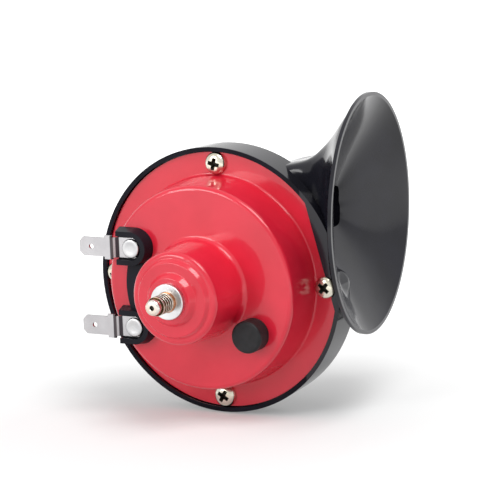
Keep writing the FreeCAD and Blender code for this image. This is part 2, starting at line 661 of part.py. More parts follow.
def make_rivet(name, up, stack_back):
    """Rivet from its head on the terminal to its closed end behind the stack."""
    body = new_body(name)
    head_front = TERMINAL_FRONT + " + rivet_head_height"
    pad(body, name + "_tail", lambda sketch: circle(sketch, RIVET_X, up, "rivet_tail_radius"),
        "%s - rivet_tail_height" % stack_back, "rivet_tail_height")
    pad(body, name + "_shank", lambda sketch: circle(sketch, RIVET_X, up, "rivet_radius"),
        stack_back, "%s - %s" % (TERMINAL_FRONT, stack_back))
    pad(body, name + "_head", lambda sketch: circle(sketch, RIVET_X, up, "rivet_head_radius"),
        TERMINAL_FRONT, "rivet_head_height")
    round_edges(body, name + "_dome", "rivet_round", ring_test(("rivet_head_radius", head_front)))
    return body


def make_bush():
    """Insulating bushes around the two rivets, in the shell's wall."""
    group = doc.addObject("Part::Feature", "rivet_bushes")
    group.Label = "rivet_bushes"
    bushes = []
    inner = value("rivet_radius + rivet_clearance")
    outer = value("rivet_radius + rivet_clearance + bush_wall")
    length = value("shell_wall")
    for up in (UPPER, LOWER):
        centre = Vector(value(RIVET_X), value(depth("plateau_height")), value(up))
        tube = Part.makeCylinder(outer, length, centre, Vector(0, 1, 0))
        bushes.append(tube.cut(Part.makeCylinder(inner, length, centre, Vector(0, 1, 0))))
    group.Shape = Part.makeCompound(bushes)
    return group


# Adjusting screw and its rubber cap
def make_adjuster():
    screw = new_body("adjusting_screw")
    front = "plateau_height + adjuster_rise"
    pad(screw, "adjusting_shank", lambda sketch: circle(sketch, *ADJUSTER, "adjuster_screw_radius"),
        CONTACT_ARM_FRONT, "%s - %s" % (front, CONTACT_ARM_FRONT))
    x, z = ADJUSTER
    half = "slot_width / 2"
    reach = "2 * adjuster_screw_radius"
    pocket(screw, "adjusting_slot", lambda sketch: box_outline(
        sketch, "%s - %s" % (x, reach), "%s + %s" % (x, reach), "%s - %s" % (z, half), "%s + %s" % (z, half)),
        front, "slot_depth")
    cap = new_body("adjuster_cap")
    pad(cap, "cap_solid", lambda sketch: circle(sketch, *ADJUSTER, "cap_radius"), "plateau_height", "cap_height")
    round_edges(cap, "cap_edge", "cap_round", ring_test(("cap_radius", "plateau_height + cap_height")))
    pocket(cap, "cap_hollow", lambda sketch: circle(sketch, *ADJUSTER, "cap_radius - cap_wall"),
           "plateau_height + cap_height - cap_wall", "cap_height - cap_wall")
    return screw, cap


# Contact set under the plateau
def make_contacts():
    left = RIVET_X + " - insulator_left_reach"
    right = RIVET_X + " + insulator_right_reach"
    top = UPPER + " + insulator_above"
    bottom = LOWER + " - insulator_above"

    def rivet_hole(sketch, up):
        circle(sketch, RIVET_X, up, "rivet_radius + rivet_clearance")

    insulator = new_body("contact_insulator")

    def insulator_outline(sketch):
        box_outline(sketch, left, right, bottom, top)
        for up in (UPPER, LOWER):
            rivet_hole(sketch, up)

    pad(insulator, "insulator_plate", insulator_outline, INSULATOR_BACK, "insulator_thickness")

    strip_top = "strip_half_width - contact_z"
    strip_bottom = "-contact_z - strip_half_width"
    base_top = LOWER + " + insulator_above"
    blade = new_body("contact_blade")

    def blade_outline(sketch):
        outline(sketch, [(left, strip_bottom), ("tongue_half_width", strip_bottom),
                         ("tongue_half_width", "-tongue_reach"), ("-tongue_half_width", "-tongue_reach"),
                         ("-tongue_half_width", strip_top), (right, strip_top), (right, base_top),
                         (left, base_top)])
        rivet_hole(sketch, LOWER)

    pad(blade, "blade_sheet", blade_outline, CONTACT_BLADE_BACK, "contact_blade_thickness")

    spacer = new_body("contact_spacer")

    def spacer_outline(sketch):
        box_outline(sketch, left, right, strip_bottom, base_top)
        rivet_hole(sketch, LOWER)

    pad(spacer, "spacer_plate", spacer_outline, CONTACT_ARM_FRONT, "2 * contact_height")

    arm = new_body("contact_arm")
    x, z = ADJUSTER
    pad_half = "(adjuster_screw_radius + arm_margin)"

    def arm_outline(sketch):
        outline(sketch, [(left, strip_bottom), ("%s + %s" % (x, pad_half), strip_bottom),
                         ("%s + %s" % (x, pad_half), "%s + %s" % (z, pad_half)),
                         ("%s - %s" % (x, pad_half), "%s + %s" % (z, pad_half)),
                         ("%s - %s" % (x, pad_half), strip_top), (right, strip_top), (right, base_top),
                         (left, base_top)])
        rivet_hole(sketch, LOWER)

    pad(arm, "arm_plate", arm_outline, CONTACT_ARM_BACK, "contact_arm_thickness")

    moving = new_body("moving_contact")
    pad(moving, "moving_button", lambda sketch: circle(sketch, "0", "-contact_z", "contact_radius"),
        CONTACT_ARM_FRONT + " + contact_height", "contact_height")
    fixed = new_body("fixed_contact")
    pad(fixed, "fixed_button", lambda sketch: circle(sketch, "0", "-contact_z", "contact_radius"),
        CONTACT_ARM_FRONT, "contact_height")

    tag = new_body("coil_tag")

    def tag_outline(sketch):
        box_outline(sketch, left, right, UPPER + " - rivet_tail_radius", top)
        rivet_hole(sketch, UPPER)

    pad(tag, "tag_sheet", tag_outline, INSULATOR_BACK + " - tag_thickness", "tag_thickness")
    return insulator, blade, spacer, arm, moving, fixed, tag


# Electromagnet
def make_magnet():
    yoke = turned("yoke_plate", ring_profile("yoke_bore", YOKE_RADIUS,
                                             PLATEAU_INSIDE + " - yoke_thickness", PLATEAU_INSIDE))
    bobbin_front = "(%s - shell_wall - bobbin_clearance)" % CUP_HEIGHT
    barrel = "bobbin_bore + bobbin_wall"
    bobbin = turned("coil_bobbin", [
        ("bobbin_bore", PLATEAU_INSIDE), ("bobbin_radius", PLATEAU_INSIDE),
        ("bobbin_radius", PLATEAU_INSIDE + " + bobbin_wall"), (barrel, PLATEAU_INSIDE + " + bobbin_wall"),
        (barrel, bobbin_front + " - bobbin_wall"), ("bobbin_radius - winding_inset", bobbin_front + " - bobbin_wall"),
        ("bobbin_radius - winding_inset", bobbin_front), ("bobbin_bore", bobbin_front)])
    winding = turned("coil_winding", ring_profile(
        barrel + " + winding_clearance", "bobbin_radius - winding_inset",
        PLATEAU_INSIDE + " + bobbin_wall + winding_clearance", bobbin_front + " - bobbin_wall - winding_clearance"))
    return yoke, bobbin, winding


# Armature on the diaphragm
def make_armature():
    clamp_back = "%s - clamp_thickness" % DIAPHRAGM_BACK
    nut_back = clamp_back + " - nut_thickness"
    armature = turned("armature", [
        ("0", nut_back + " - spigot_rise"), ("spigot_radius", nut_back + " - spigot_rise"),
        ("spigot_radius", DIAPHRAGM_FRONT), ("stem_radius", DIAPHRAGM_FRONT), ("stem_radius", COLLAR_BACK),
        ("collar_radius", COLLAR_BACK), ("collar_radius", COLLAR_FRONT), ("armature_radius", COLLAR_FRONT),
        ("armature_radius", ARMATURE_TOP), ("0", ARMATURE_TOP)])
    ring = turned("armature_ring", ring_profile("armature_radius + ring_clearance", "collar_radius",
                                                COLLAR_FRONT, COLLAR_FRONT + " + ring_thickness"))
    bore = "spigot_radius + spigot_clearance"
    clamp = turned("armature_washer", ring_profile(bore, "clamp_radius", clamp_back, DIAPHRAGM_BACK))
    nut = new_body("armature_nut")
    across_corners = "(nut_flats / 2 / cos(30))"

    def hexagon(sketch):
        outline(sketch, [("%s * cos(%d)" % (across_corners, angle), "%s * sin(%d)" % (across_corners, angle))
                         for angle in range(30, 390, 60)])
        circle(sketch, "0", "0", bore)

    pad(nut, "nut_hexagon", hexagon, nut_back, "nut_thickness")
    return armature, ring, clamp, nut


def make_diaphragm():
    disc = turned("diaphragm", ring_profile("spigot_radius + spigot_clearance", "flange_radius",
                                            DIAPHRAGM_BACK, DIAPHRAGM_FRONT))
    front = turned("front_gasket", ring_profile(GASKET_BORE, "flange_radius", DIAPHRAGM_FRONT, "-shell_wall"))
    rear = turned("rear_gasket", ring_profile(GASKET_BORE, "flange_radius", SEAT, DIAPHRAGM_BACK))
    for body, back, thickness in ((disc, DIAPHRAGM_BACK, "diaphragm_thickness"),
                                  (front, DIAPHRAGM_FRONT, "gasket_thickness"), (rear, SEAT, "gasket_thickness")):
        cut_chord(body, "0", "flange_clearance - %s" % SEAT)
        add_ear(body, back, thickness)
        cut_screw_holes(body, "0", "flange_clearance - %s" % SEAT)
    return disc, front, rear


# Sound duct: a spiral that widens from the throat to the neck
def spiral_radius(turn, side, wall):
    """Distance from the axis of the duct's inner (side -1) or outer (side 1) edge."""
    share = turn / value("duct_angle")
    middle = value("duct_start_radius") + share * (value("mouth_z") - value("duct_start_radius"))
    half = value("duct_start_half") + share * (value("duct_end_half") - value("duct_start_half"))
    return middle + side * (half + wall)


def spiral_edge(start, end, side, wall):
    steps = 24
    points = []
    for step in range(steps + 1):
        turn = start + (end - start) * step / steps
        radius = spiral_radius(turn, side, wall)
        angle = math.radians(90 + value("duct_angle") - turn)
        points.append(Vector(radius * math.cos(angle), 0, radius * math.sin(angle)))
    curve = Part.BSplineCurve()
    curve.interpolate(points)
    return curve.toShape()


def prism(edges, back, front):
    """Solid between two heights from a closed loop of edges drawn at Y = 0."""
    face = Part.Face(Part.Wire(Part.sortEdges(edges)[0]))
    near = value(depth(front))
    far = value(depth(back))
    face.translate(Vector(0, near, 0))
    return face.extrude(Vector(0, far - near, 0))


def block(left, right, bottom, top, back, front):
    near = value(depth(front))
    corner = Vector(left, near, bottom)
    return Part.makeBox(right - left, value(depth(back)) - near, top - bottom, corner)


def snail(back, front):
    """Outside of the duct: the last full turn, and its straight end."""
    full = value("duct_angle")
    wall = value("duct_wall")
    start = full - FULL_TURN
    outer = spiral_edge(start, full, 1, wall)
    step = Part.makeLine(outer.Vertexes[-1].Point, outer.Vertexes[0].Point)
    top = spiral_radius(full, 1, wall)
    bottom = spiral_radius(full, -1, wall)
    turn = prism([outer, step], back, front)
    return turn.fuse(block(0, value("duct_run"), bottom, top, back, front)).removeSplitter()


def duct_space():
    """Air inside the duct: the throat, the spiral and the straight run to the bell."""
    full = value("duct_angle")
    outer = spiral_edge(0, full, 1, 0)
    inner = spiral_edge(0, full, -1, 0)
    ends = [Part.makeLine(outer.Vertexes[end].Point, inner.Vertexes[end].Point) for end in (0, -1)]
    spiral = prism([outer, inner] + ends, DUCT_BACK, FLOOR_BACK)
    near = value(depth(SEAT))
    throat = Part.makeCylinder(value("throat_radius"), value(depth(DUCT_BACK)) - near, Vector(0, near, 0),
                               Vector(0, 1, 0))
    run = block(0, value(THROAT_X), spiral_radius(full, -1, 0), spiral_radius(full, 1, 0), DUCT_BACK, FLOOR_BACK)
    return spiral.fuse([throat, run])


# Neck and bell
def oval(x, top, bottom, front, rear, squareness, lean):
    """Closed section across the bell: a circle where squareness is 2, boxier above."""
    centre = Vector(x, value(depth("-mouth_depth")), value("mouth_z"))
    lean = math.radians(lean)
    along = Vector(-math.sin(lean), math.cos(lean), 0)
    count = 32
    points = []
    for step in range(count):
        across = math.cos(2 * math.pi * step / count)
        up = math.sin(2 * math.pi * step / count)
        reach = rear if across > 0 else front
        rise = top if up > 0 else bottom
        points.append(centre + along * math.copysign(reach * abs(across) ** (2 / squareness), across)
                      + Vector(0, 0, math.copysign(rise * abs(up) ** (2 / squareness), up)))
    curve = Part.BSplineCurve()
    curve.interpolate(points, True)
    return Part.Wire(curve.toShape())


def flare(share, start, end, power):
    return start + (end - start) * share ** power


def bell_end():
    """Where the outside of the bell ends, inside its lip."""
    return value("%s - lip_length + lip_overlap" % MOUTH_X)


def outside_reach(x):
    """Reach of the bell's outside at a place: up, down, to the front and to the back."""
    share = min(1, (x - value(NECK_X)) / (bell_end() - value(NECK_X)))
    radius = value("mouth_radius - lip_step")
    return (flare(share, value("neck_top - mouth_z"), radius, value("height_power")),
            flare(share, value("mouth_z - neck_bottom"), radius, value("height_power")),
            flare(share, value("mouth_depth + (%s)" % CHAMBER_BACK), radius, value("front_power")),
            flare(share, value("-(%s) + duct_wall - mouth_depth" % DUCT_BACK), radius, value("rear_power")))


def bell_outside():
    """Neck and bell as one smooth loft, up to the inside of the lip."""
    start_x = value("duct_run")
    neck_x = value(NECK_X)
    corners = value("neck_corner_power")
    top, bottom, front, rear = outside_reach(neck_x)
    sections = []
    for share in (0, 0.5):
        sections.append(oval(start_x + share * (neck_x - start_x),
                             flare(share, value("neck_start_top - mouth_z"), top, 1),
                             flare(share, value("mouth_z - neck_start_bottom"), bottom, 1), front, rear, corners, 0))
    for share in (0, 0.2, 0.4, 0.6, 0.75, 0.88, 1):
        x = flare(share, neck_x, bell_end(), 1)
        sections.append(oval(x, *outside_reach(x), flare(share, corners, 2, 1), value("mouth_tilt") * share))
    return Part.makeLoft(sections, True)


def lip(radius, length):
    """Disc behind the mouth's plane."""
    lean = math.radians(value("mouth_tilt"))
    normal = Vector(math.cos(lean), math.sin(lean), 0)
    centre = Vector(value(MOUTH_X), value(depth("-mouth_depth")), value("mouth_z"))
    return Part.makeCylinder(radius, length, centre - normal * length, normal)


def bell_inside():
    """Bowl of the bell, from the end of the duct to the mouth.

    It opens soon past the duct to the bell's outside, moved inwards by the wall.
    """
    throat_x = value(THROAT_X)
    mouth_x = value(MOUTH_X)
    half = value("duct_end_half - throat_ledge")
    starts = (half, half, value("mouth_depth + (%s) - throat_ledge" % FLOOR_BACK),
              value("-(%s) - mouth_depth - throat_ledge" % DUCT_BACK))
    shift = mouth_x - bell_end()
    corners = value("throat_corner_power")
    sections = []
    for share in (0, 0.06, 0.15, 0.3, 0.45, 0.6, 0.75, 0.88, 1, 1.06):
        x = flare(share, throat_x, mouth_x, 1)
        inside = min(share, 1)
        wall = flare(inside, value("bowl_wall"), value("lip_wall - lip_step"), 1)
        opening = 1 - (1 - inside) ** value("bowl_power")
        past = max(0, x - mouth_x) * value("height_power")
        reaches = [flare(opening, start, outside - wall, 1) + past
                   for start, outside in zip(starts, outside_reach(x - shift))]
        sections.append(oval(x, *reaches, flare(share, corners, 2, 0.3), value("mouth_tilt") * share))
    return Part.makeLoft(sections, True)


def guarded_bowl():
    """Bowl without the wall around the ear and its screw, rounded where they meet."""
    radius = value(EAR_RADIUS + " + flange_clearance + boss_guard")
    near = value(depth("screw_head_height + 2 * boss_guard"))
    far = value(depth("screw_core_radius - screw_length"))
    centre = Vector(value(PITCH_RADIUS), far, 0)
    column = Part.makeCylinder(radius, far - near, Vector(centre.x, near, 0), Vector(0, 1, 0))
    bowl = bell_inside().cut(column.fuse(Part.makeSphere(radius, centre)))
    creases = []
    for edge in bowl.Edges:
        middle = edge.valueAt((edge.FirstParameter + edge.LastParameter) / 2)
        beside = math.hypot(middle.x - centre.x, middle.z) < radius + value("flange_clearance")
        if beside and not edge.Degenerated and isinstance(edge.Curve, Part.BSplineCurve):
            creases.append(edge)
    return bowl.makeFillet(value("guard_round"), creases)


def shape_object(name, shape):
    item = doc.addObject("Part::Feature", name)
    item.Label = name
    item.Shape = shape
    return item


def boolean(kind, name, base, tools):
    item = doc.addObject("Part::" + kind, name)
    item.Label = name
    if kind == "MultiFuse":
        item.Shapes = [base] + tools
    else:
        item.Base = base
        item.Tool = tools[0]
    item.Refine = True
    doc.recompute()
    return item


def make_trumpet():
    back_of_bosses = "(-screw_length - pilot_wall)"
    tray = turned("tray", [
        ("throat_radius", CHAMBER_BACK), (GASKET_BORE, CHAMBER_BACK), (GASKET_BORE, "rim_rise"),
        (RIM_RADIUS, "rim_rise"), (SKIRT_RADIUS, "-skirt_depth"), (SKIRT_RADIUS + " - tray_wall", "-skirt_depth"),
        (SKIRT_RADIUS + " - tray_wall", FLOOR_BACK), ("throat_radius", FLOOR_BACK)])
    pocket_space = new_body("flange_space")
    space_height = "(2 * mouth_radius)"
    pad(pocket_space, "flange_disc_space", lambda sketch: circle(sketch, "0", "0", POCKET_RADIUS), SEAT, space_height)
    pocket(pocket_space, "flange_flat_space", lambda sketch: outline(sketch, chord_corners("flange_clearance")),
           SEAT + " + " + space_height, space_height)
    pad(pocket_space, "ear_space", lambda sketch: circle(
        sketch, PITCH_RADIUS, "0", EAR_RADIUS + " + flange_clearance"), SEAT, space_height)
    bosses = new_body("screw_bosses")
    boss = pad(bosses, "screw_boss", lambda sketch: circle(sketch, PITCH_RADIUS, "0", "boss_outer_radius"),
               back_of_bosses, "%s - %s" % (CHAMBER_BACK, back_of_bosses))
    polar(bosses, "screw_bosses_all", boss, "screw_count")
    pilots = new_body("screw_pilots")
    pilot = pad(pilots, "screw_pilot", lambda sketch: circle(
        sketch, PITCH_RADIUS, "0", "screw_core_radius + pilot_clearance"),
        "-screw_length - pilot_clearance", "screw_length + pilot_clearance + (%s)" % SEAT)
    polar(pilots, "screw_pilots_all", pilot, "screw_count")

    neck = shape_object("neck_and_bell", bell_outside())
    lip_disc = shape_object("bell_lip", lip(value("mouth_radius"), value("lip_length")))
    front_half = shape_object("snail_front", snail("-split_depth", CHAMBER_BACK))
    air = shape_object("duct_and_bowl", duct_space().fuse(guarded_bowl()))
    solid = boolean("MultiFuse", "trumpet_solid", tray, [bosses, neck, lip_disc, front_half])
    space = boolean("MultiFuse", "trumpet_space", air, [pocket_space, pilots])
    body = boolean("Cut", "trumpet_body", solid, [space])

    rear_half = snail(DUCT_BACK + " - duct_wall", "-split_depth")
    far = value(depth(DUCT_BACK + " - duct_wall"))
    outer = []
    for edge in rear_half.Edges:
        middle = edge.valueAt((edge.FirstParameter + edge.LastParameter) / 2)
        if abs(middle.y - far) < 1e-4 and abs(middle.x - value("duct_run")) > 1e-3:
            outer.append(edge)
    rear_solid = shape_object("snail_rear", rear_half.makeFillet(value("duct_round"), outer))
    rear_air = shape_object("rear_air", duct_space())
    cover = boolean("Cut", "trumpet_cover", rear_solid, [rear_air])
    return body, cover


housing = make_housing()
screws = make_screws()
core, stud_washer = make_stud()
block_body = make_terminal_block()
upper = make_terminal("upper_terminal", UPPER)
lower = make_terminal("lower_terminal", LOWER)
upper_rivet = make_rivet("upper_rivet", UPPER, "(%s - tag_thickness)" % INSULATOR_BACK)
lower_rivet = make_rivet("lower_rivet", LOWER, CONTACT_ARM_BACK)
bushes = make_bush()
adjusting_screw, adjuster_cap = make_adjuster()
contacts = make_contacts()
magnet = make_magnet()
armature = make_armature()
diaphragm = make_diaphragm()
trumpet = make_trumpet()

NODES = [housing, screws, core, stud_washer, block_body, upper, lower, upper_rivet, lower_rivet, bushes,
         adjusting_screw, adjuster_cap, *contacts, *magnet, *armature, *diaphragm, *trumpet]

doc.recompute()
for item in doc.Objects:
    if "Invalid" in item.State or "Error" in item.State:
        raise RuntimeError("failed: %s %s" % (item.Label, item.State))
for node in NODES:
    if node.Shape.isNull() or not node.Shape.isValid():
        raise RuntimeError("bad shape: %s" % node.Label)

os.makedirs("parts", exist_ok=True)
for node in NODES:
    node.Shape.exportStep("parts/%s.step" % node.Label)
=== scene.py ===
import json
import math

import bmesh
import bpy
from mathutils import Matrix, Vector


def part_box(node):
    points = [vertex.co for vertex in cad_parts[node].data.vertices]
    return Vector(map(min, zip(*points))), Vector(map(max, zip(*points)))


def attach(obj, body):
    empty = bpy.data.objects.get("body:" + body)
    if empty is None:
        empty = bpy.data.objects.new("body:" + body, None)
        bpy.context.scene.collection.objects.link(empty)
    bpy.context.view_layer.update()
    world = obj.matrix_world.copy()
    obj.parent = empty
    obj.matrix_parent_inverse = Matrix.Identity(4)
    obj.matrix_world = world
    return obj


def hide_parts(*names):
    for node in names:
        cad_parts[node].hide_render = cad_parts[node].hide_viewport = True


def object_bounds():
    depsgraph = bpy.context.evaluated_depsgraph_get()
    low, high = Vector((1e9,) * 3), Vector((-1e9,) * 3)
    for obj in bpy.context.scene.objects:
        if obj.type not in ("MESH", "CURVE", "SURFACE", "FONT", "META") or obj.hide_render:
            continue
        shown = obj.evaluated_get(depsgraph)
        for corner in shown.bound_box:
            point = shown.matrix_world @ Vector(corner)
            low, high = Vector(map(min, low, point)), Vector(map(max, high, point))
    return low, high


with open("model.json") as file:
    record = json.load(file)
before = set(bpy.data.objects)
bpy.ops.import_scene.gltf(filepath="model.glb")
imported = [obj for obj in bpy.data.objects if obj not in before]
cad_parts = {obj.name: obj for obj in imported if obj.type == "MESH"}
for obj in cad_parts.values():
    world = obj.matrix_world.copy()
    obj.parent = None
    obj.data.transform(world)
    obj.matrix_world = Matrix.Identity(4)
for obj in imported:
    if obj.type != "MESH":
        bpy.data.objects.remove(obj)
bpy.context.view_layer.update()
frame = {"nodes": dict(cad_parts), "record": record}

MM = 0.001
WHITE = (1, 1, 1)

# Places that follow from the frame
SHELL_WALL = 1.2 * MM
FLOOR_GAP = 0.4 * MM
FLANGE_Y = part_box("front_gasket")[0][1] - SHELL_WALL
STUD_TIP_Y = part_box("core_stud")[0][1]
STUD_CORE_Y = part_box("core_stud")[1][1]
WASHER_BACK_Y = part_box("stud_washer")[1][1]
SCREW_FRONT_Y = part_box("flange_screws")[0][1]
SCREW_TIP_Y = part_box("flange_screws")[1][1]
FLOOR_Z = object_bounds()[0][2] - FLOOR_GAP

# Camera, as worked out from the photograph's ellipses, in degrees, metres and pixels;
# AXIS_PIXEL is where the middle of the flange's front plane is seen
CAMERA_AZIMUTH = 28.95
CAMERA_ELEVATION = 11.56
CAMERA_ROLL = -2.35
CAMERA_DISTANCE = 1.5
CAMERA_REACH = 20
PIXELS_PER_METRE = 3040
IMAGE_SIDE = 500
AXIS_PIXEL = (221.45, 279.43)
SENSOR = 36.0

# Studio: lamps are (place, size, watts)
WORLD_LIGHT = 0.55
LAMP_TARGET = (0.01, 0.03, 0)
LAMPS = {
    "key": ((0.55, -0.30, 1.15), (0.65, 0.65), 10.0),
    "front": ((-0.60, -1.15, 0.45), (0.5, 0.6), 6.5),
}
FLOOR_HALF_SIDE = 6
FLOOR_TONES = ((0.69, 0.69, 0.69), (0.71, 0.71, 0.71))
FLOOR_TONE_SCALE = 3
FLOOR_ROUGHNESS = 0.9
GLOW_NEAR = 0.22
GLOW_NEAR_DISTANCE = 0.06
GLOW_FAR = 0.85
GLOW_FAR_DISTANCE = 0.36

# Patches: a texture runs from a first to a second tone between these shares of it
TONE_START = 0.35
TONE_END = 0.65
FINE_DETAIL = 2
STREAK_DETAIL = 3

# Red paint
PAINT_TONES = ((0.66, 0.013, 0.036), (0.74, 0.018, 0.046))
PAINT_TONE_SCALE = 60
PAINT_ROUGHNESS = (0.20, 0.28)
PAINT_ROUGHNESS_SCALE = 200
PAINT_GLOSS = 0.3
PAINT_COAT = 0.6
PAINT_COAT_ROUGHNESS = 0.04
ORANGE_PEEL_SCALE = 380
ORANGE_PEEL_HEIGHT = 0.03 * MM

# Black plastic of the tray and the terminal block
PLASTIC_TONES = ((0.008, 0.008, 0.012), (0.013, 0.013, 0.020))
PLASTIC_TONE_SCALE = 90
PLASTIC_ROUGHNESS_SCALE = 110
PLASTIC_GRAIN_SCALE = 1400
PLASTIC_GRAIN_HEIGHT = 0.01 * MM
PLASTIC_GRAIN_STRENGTH = 0.08
BLOCK_ROUGHNESS = (0.26, 0.38)
BLOCK_GLOSS = 0.12
TRAY_ROUGHNESS = (0.08, 0.15)
TRAY_GLOSS = 0.36

# Front face of the tray's rim, which is less glossy than the rest, up to the neck
RIM_GLOSS = 0.06
RIM_FRONT_Y = 35.56 * MM
RIM_MARGIN = 0.2 * MM
RIM_FADE_START = 0.1 * MM
RIM_FADE_END = 0.5 * MM
NECK_LEFT_X = 31 * MM

# Metals: (first tone, second tone, roughness), and how far the streaks are drawn out
METAL_TONE_SCALE = 160
METAL_STREAK_SCALE = 900
METAL_STREAK_HEIGHT = 0.01 * MM
METAL_SMOOTHER = 0.07
METAL_ROUGHER = 0.1
METALS = {
    "yellow_zinc": ((0.62, 0.58, 0.46), (0.76, 0.74, 0.66), 0.18),
    "rivet_plate": ((0.48, 0.48, 0.49), (0.58, 0.58, 0.58), 0.32),
    "nickel": ((0.60, 0.60, 0.61), (0.70, 0.70, 0.70), 0.28),
    "bare_steel": ((0.34, 0.34, 0.35), (0.44, 0.44, 0.45), 0.42),
    "spring_steel": ((0.46, 0.46, 0.47), (0.56, 0.56, 0.56), 0.32),
    "spring_brass": ((0.66, 0.46, 0.18), (0.78, 0.58, 0.26), 0.30),
    "copper_wire": ((0.55, 0.22, 0.10), (0.70, 0.32, 0.15), 0.30, (1, 9, 1)),
}

# Matte materials: (first tone, second tone, roughness), and the grain and gloss where they differ
MATTE_GRAIN_SCALE = 500
MATTE_GRAIN_HEIGHT = 0.05 * MM
MATTE_GRAINS_A_PATCH = 4
MATTE_GLOSS = 0.5
MATTES = {
    "cap_rubber": ((0.009, 0.009, 0.010), (0.015, 0.015, 0.017), 0.5, 1800, 0.25),
    # recess: dark colour on the faces of the screws' cross recess, a painted shade
    "recess": ((0.012, 0.010, 0.006), (0.03, 0.026, 0.014), 0.5, 2500, 0.3),
    "fibre": ((0.30, 0.10, 0.05), (0.40, 0.15, 0.08), 0.65),
    "nylon": ((0.62, 0.60, 0.54), (0.72, 0.70, 0.64), 0.45),
    "gasket_paper": ((0.05, 0.05, 0.05), (0.09, 0.09, 0.08), 0.8),
}

# Tin plate of the terminals, with painted shade at both ends of their bend: (share of the bend,
# tint)
TIN_TONES = ((0.42, 0.41, 0.42), (0.48, 0.47, 0.48))
TIN_ROUGHNESS = (0.26, 0.44)
TIN_STREAK = (1, 1, 6)
BEND_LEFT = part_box("upper_terminal")[0][0] + 11.4 * MM
BEND_RIGHT = BEND_LEFT + 2.9 * MM
BEND_SHADE = (0.12, 0.11, 0.12)
BEND_LIGHTER_SHADE = (0.2, 0.18, 0.18)
BEND_SHADE_TINTS = ((0, WHITE), (0.08, BEND_SHADE), (0.36, BEND_LIGHTER_SHADE), (0.44, WHITE), (0.56, WHITE),
              (0.64, BEND_SHADE), (0.92, BEND_SHADE), (1, WHITE))

# Plating of the stud; the grooves get a brown painted shade, darkest at their root: (share of the
# thread's depth, tint)
STUD_TONES = ((0.66, 0.56, 0.46), (0.74, 0.72, 0.70))
STUD_TONE_SCALE = 260
STUD_ROUGHNESS = (0.18, 0.34)
GROOVE_SHADE_TINTS = ((0, (0.02, 0.012, 0.004)), (0.8, (0.10, 0.06, 0.025)), (0.97, WHITE))
COLLAR_TINT = (0.95, 0.60, 0.42)
# painted shade inside the dimple in the stud's tip
TIP_MARK_SHADE = 0.06

# Mounting stud: tip, thread, plain collar and the core inside
STUD_FACETS = 72
STUD_RADIUS = 3.175 * MM
STUD_ROOT_STEP = 0.35 * MM
STUD_THREAD_DEPTH = 0.65 * MM
STUD_THREAD_LENGTH = 5.8 * MM
STUD_PITCH = 1.27 * MM
STUD_COLLAR_LENGTH = 1.2 * MM
STUD_TIP_LENGTH = 2.5 * MM
STUD_TIP_RADIUS = 2.6 * MM
STUD_TIP_BEND = 0.85 * MM
SHANK_RADIUS = 3.35 * MM
CORE_RADIUS = 6.0 * MM

# Mark in the stud's tip: floor, part with painted shade, and edge are shares of its radius
TIP_MARK_RADIUS = 0.8 * MM
TIP_MARK_STEP = 0.1 * MM
TIP_MARK_FLOOR = 0.7
TIP_MARK_SHADED_SHARE = 0.96
TIP_MARK_EDGE = 1.15

# Flange screws: domed head, thread and tip; SCREW_TURNS are (place round the flange, twist)
SCREW_FACETS = 48
SCREW_HEAD_RADIUS = 3.8 * MM
SCREW_TOP_RADIUS = 0.25 * MM
DOME_STEPS = 12
DOME_HEIGHT_POWER = 0.8
DOME_RADIUS_POWER = 0.55
CAD_HEAD_RADIUS = 3.4 * MM
PITCH_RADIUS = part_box("flange_screws")[1][0] - CAD_HEAD_RADIUS
SCREW_CORE_RADIUS = 1.7 * MM
SCREW_PITCH = 1.3 * MM
SCREW_THREAD_DEPTH = 0.4 * MM
SCREW_NECK_LENGTH = 0.3 * MM
SCREW_TIP_LENGTH = 1.0 * MM
SCREW_TIP_RADIUS = 0.3 * MM
SCREW_TURNS = {"right": (0, 38), "upper": (90, 12), "left": (180, 70), "lower": (270, 30)}

# Cross recess: wings are (depth, span, width) and the cone (depth, radius), as shares of its size
RECESS_SPAN = 4.6 * MM
RECESS_WIDTH = 1.4 * MM
RECESS_DEPTH = 1.9 * MM
RECESS_WINGS = ((-0.25, 1.08, 1.05), (1, 0.42, 0.62))
RECESS_CONE = ((-0.25, 0.27), (0.9, 0.17))
RECESS_PILOT = 1.25
CONE_FACETS = 12

# Rivets of the terminals
RIVET_FACETS = 48
RIVET_HEAD_RADIUS = 3.2 * MM
RIVET_HEAD_HEIGHT = 1.4 * MM
RIVET_BEND = 0.6 * MM
RIVET_SHANK_RADIUS = 1.6 * MM
RIVET_TAIL_RADIUS = 2.5 * MM
RIVET_TAIL_HEIGHT = 1.2 * MM
RIVET_DISH_RADIUS = 1.9 * MM
RIVET_DISH_FLOOR = (0.2, 0.85)
RIVET_DISH = 0.07 * MM

# Coil, wound from wire
WINDING_FACETS = 72
WIRE_THICKNESS = 0.42 * MM
WIRE_RINGS = 4
WINDING_BORE = 7.9 * MM

# Turned meshes
BEND_STEPS = 6
THREAD_STEPS = 12
FLANK_SLOPE = 2.4
CRISP_ANGLE = 34


